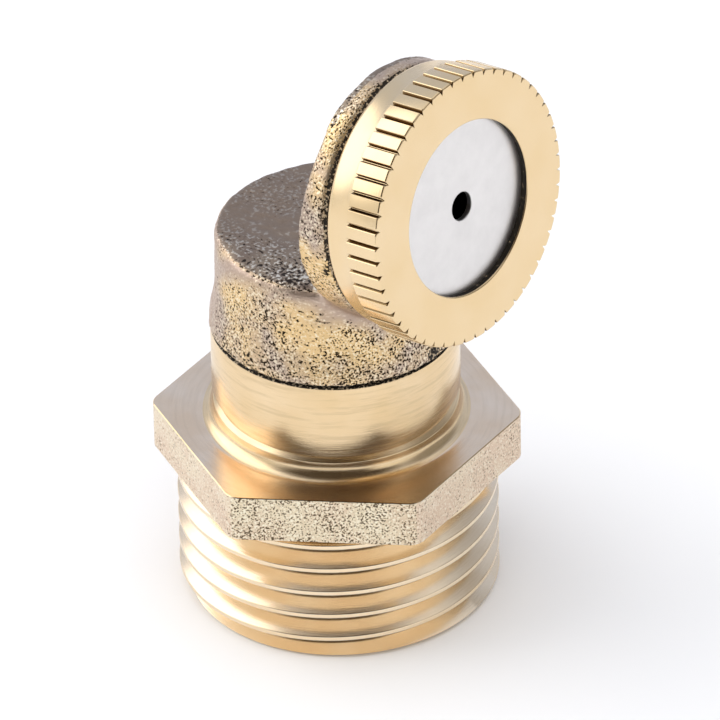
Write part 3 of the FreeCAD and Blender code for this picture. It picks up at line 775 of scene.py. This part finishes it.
# ---- The orifice disc ---------------------------------------------------------------------------------
# A stamped disc of satin stainless sheet with one small hole, held under the cap's lip.
DISC_R = 6.85
DISC_FRONT = -0.59
DISC_BACK = -0.99
DISC_EDGE = 0.05
JET_R = 0.94
JET_EDGE = 0.07
disc = turn("jet_disc", (
    [(JET_R, DISC_BACK + 0.02), (JET_R + 0.02, DISC_BACK)]
    + [(DISC_R - DISC_EDGE, DISC_BACK), (DISC_R, DISC_BACK + DISC_EDGE)]
    + [(DISC_R, DISC_FRONT - DISC_EDGE), (DISC_R - DISC_EDGE, DISC_FRONT)]
    + arc(JET_R + JET_EDGE, DISC_FRONT - JET_EDGE, JET_EDGE, 90, 180, 4)
), spokes=96)
smooth_by_angle(disc, 35)
lay_on_spray_axis(disc)
put_on(disc, satin_steel("disc_stainless", (0.80, 0.775, 0.755), 0.36, laid_in_head=True))
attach(disc, "insert")
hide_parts("orifice_disc")


# ---- The knurled cap ----------------------------------------------------------------------------------
# A turned brass ring nut.  Its front half is knurled with straight flutes that break through the front edge,
# its back edge is rounded, and it screws onto the spigot and clamps the disc.
TEETH = 54
SPOKES_PER_TOOTH = 8
KNURL_R = 9.08
KNURL_BACK = -2.48
KNURL_EDGE = 0.12
FLUTE_BOTTOM = 8.72
BAND_R = 8.68
BAND_EDGE = 0.45
CAP_BACK = -4.57
WINDOW_R = 5.79
WINDOW_EDGE = 0.10
LIP_FOOT = -0.13
GAP_R = 5.86
CAVITY_R = 7.6
CAVITY_END = -2.1
CAP_BORE_R = 6.98
CAP_BORE_CHAMFER = 0.45
cap = turn("screw_cap", (
    arc(BAND_R - BAND_EDGE, CAP_BACK + BAND_EDGE, BAND_EDGE, 270, 360, 6)
    + [(BAND_R, KNURL_BACK - 0.05), (BAND_R + 0.03, KNURL_BACK), (KNURL_R - 0.06, KNURL_BACK)]
    + arc(KNURL_R - 0.06, KNURL_BACK + 0.06, 0.06, -60, 0, 2)
    + arc(KNURL_R - KNURL_EDGE, -KNURL_EDGE, KNURL_EDGE, 0, 90, 4)
    + arc(WINDOW_R + WINDOW_EDGE, -WINDOW_EDGE, WINDOW_EDGE, 90, 180, 4)
    + [(WINDOW_R, LIP_FOOT), (GAP_R, LIP_FOOT), (GAP_R, DISC_FRONT), (CAVITY_R, DISC_FRONT)]
    + [(CAVITY_R, CAVITY_END + 0.1), (CAP_BORE_R, CAVITY_END)]
    + [(CAP_BORE_R, CAP_BACK + CAP_BORE_CHAMFER), (CAP_BORE_R + CAP_BORE_CHAMFER, CAP_BACK)]
), spokes=TEETH * SPOKES_PER_TOOTH)
bpy.ops.object.mode_set(mode="EDIT")
bpy.ops.mesh.select_all(action="DESELECT")
bpy.ops.object.mode_set(mode="OBJECT")
for vertex in cap.data.vertices:
    spot = vertex.co / MM
    spoke = round(math.atan2(spot.y, spot.x) / (2 * math.pi) * TEETH * SPOKES_PER_TOOTH)
    on_knurl = math.hypot(spot.x, spot.y) > KNURL_R - 0.28 and spot.z > KNURL_BACK - 0.12
    vertex.select = on_knurl and spoke % SPOKES_PER_TOOTH == 0
bpy.ops.object.mode_set(mode="EDIT")
bpy.ops.mesh.select_mode(type="VERT")
sink = FLUTE_BOTTOM / KNURL_R
bpy.ops.transform.resize(value=(sink, sink, 1), center_override=(0, 0, 0))
bpy.ops.object.mode_set(mode="OBJECT")
apply_modifier(
    cap, "BEVEL", width=0.03 * MM, segments=1, limit_method="ANGLE", angle_limit=math.radians(40),
)
combine(cap, screw_thread(
    "tap", CAP_BORE_R, CAVITY_R - 0.02, CAP_ROUNDS, 0.05, CAP_FLANK, CAP_PITCH,
    RELIEF_FRONT - 3 * CAP_PITCH, CAP_TURNS, ends=(-5.0, -1.9),
), "DIFFERENCE")
close_shell(cap)
smooth_by_angle(cap, 35)
lay_on_spray_axis(cap)
faced = {
    key for face in cap.data.polygons if abs(face.normal.dot(SPRAY)) > 0.999 for key in face.edge_keys
}
for edge in cap.data.edges:
    if edge.key in faced:
        edge.use_edge_sharp = True

put_on(
    cap,
    bright_brass("cap_brass", (0.84, 0.65, 0.40), (0.81, 0.61, 0.35), laid_in_head=True),
    # painted shade: dark brown brass for the knurl's flutes
    bright_brass("flute_shade_brass", (0.26, 0.17, 0.08), (0.16, 0.10, 0.04), laid_in_head=True),
    # painted shade for the gap behind the window's lip
    painted_gap_shade("window_gap_shade", 0.66),
)
CAP_BRASS, FLUTE_SHADE, WINDOW_GAP_SHADE = range(3)
JUST_ABOVE = 0.01
for face in cap.data.polygons:
    out = (face.center - HEAD) / MM
    depth = out.dot(SPRAY)
    radial = out - SPRAY * depth
    along_spray = abs(face.normal.dot(SPRAY)) < 0.3
    across_knurl = abs(face.normal.dot(radial.normalized())) < 0.8
    finish = CAP_BRASS
    # painted shade: the flute walls are dark brown, standing in for the shade in the grooves
    if FLUTE_BOTTOM < radial.length < KNURL_R - 0.05 and along_spray and across_knurl:
        finish = FLUTE_SHADE
    # painted shade: black on the lip's inner wall, for the shadowed gap between the lip and the disc
    if radial.length < GAP_R + 0.14 and DISC_FRONT + JUST_ABOVE < depth < LIP_FOOT + JUST_ABOVE:
        finish = WINDOW_GAP_SHADE
    face.material_index = finish
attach(cap, "cap")
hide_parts("knurled_cap")
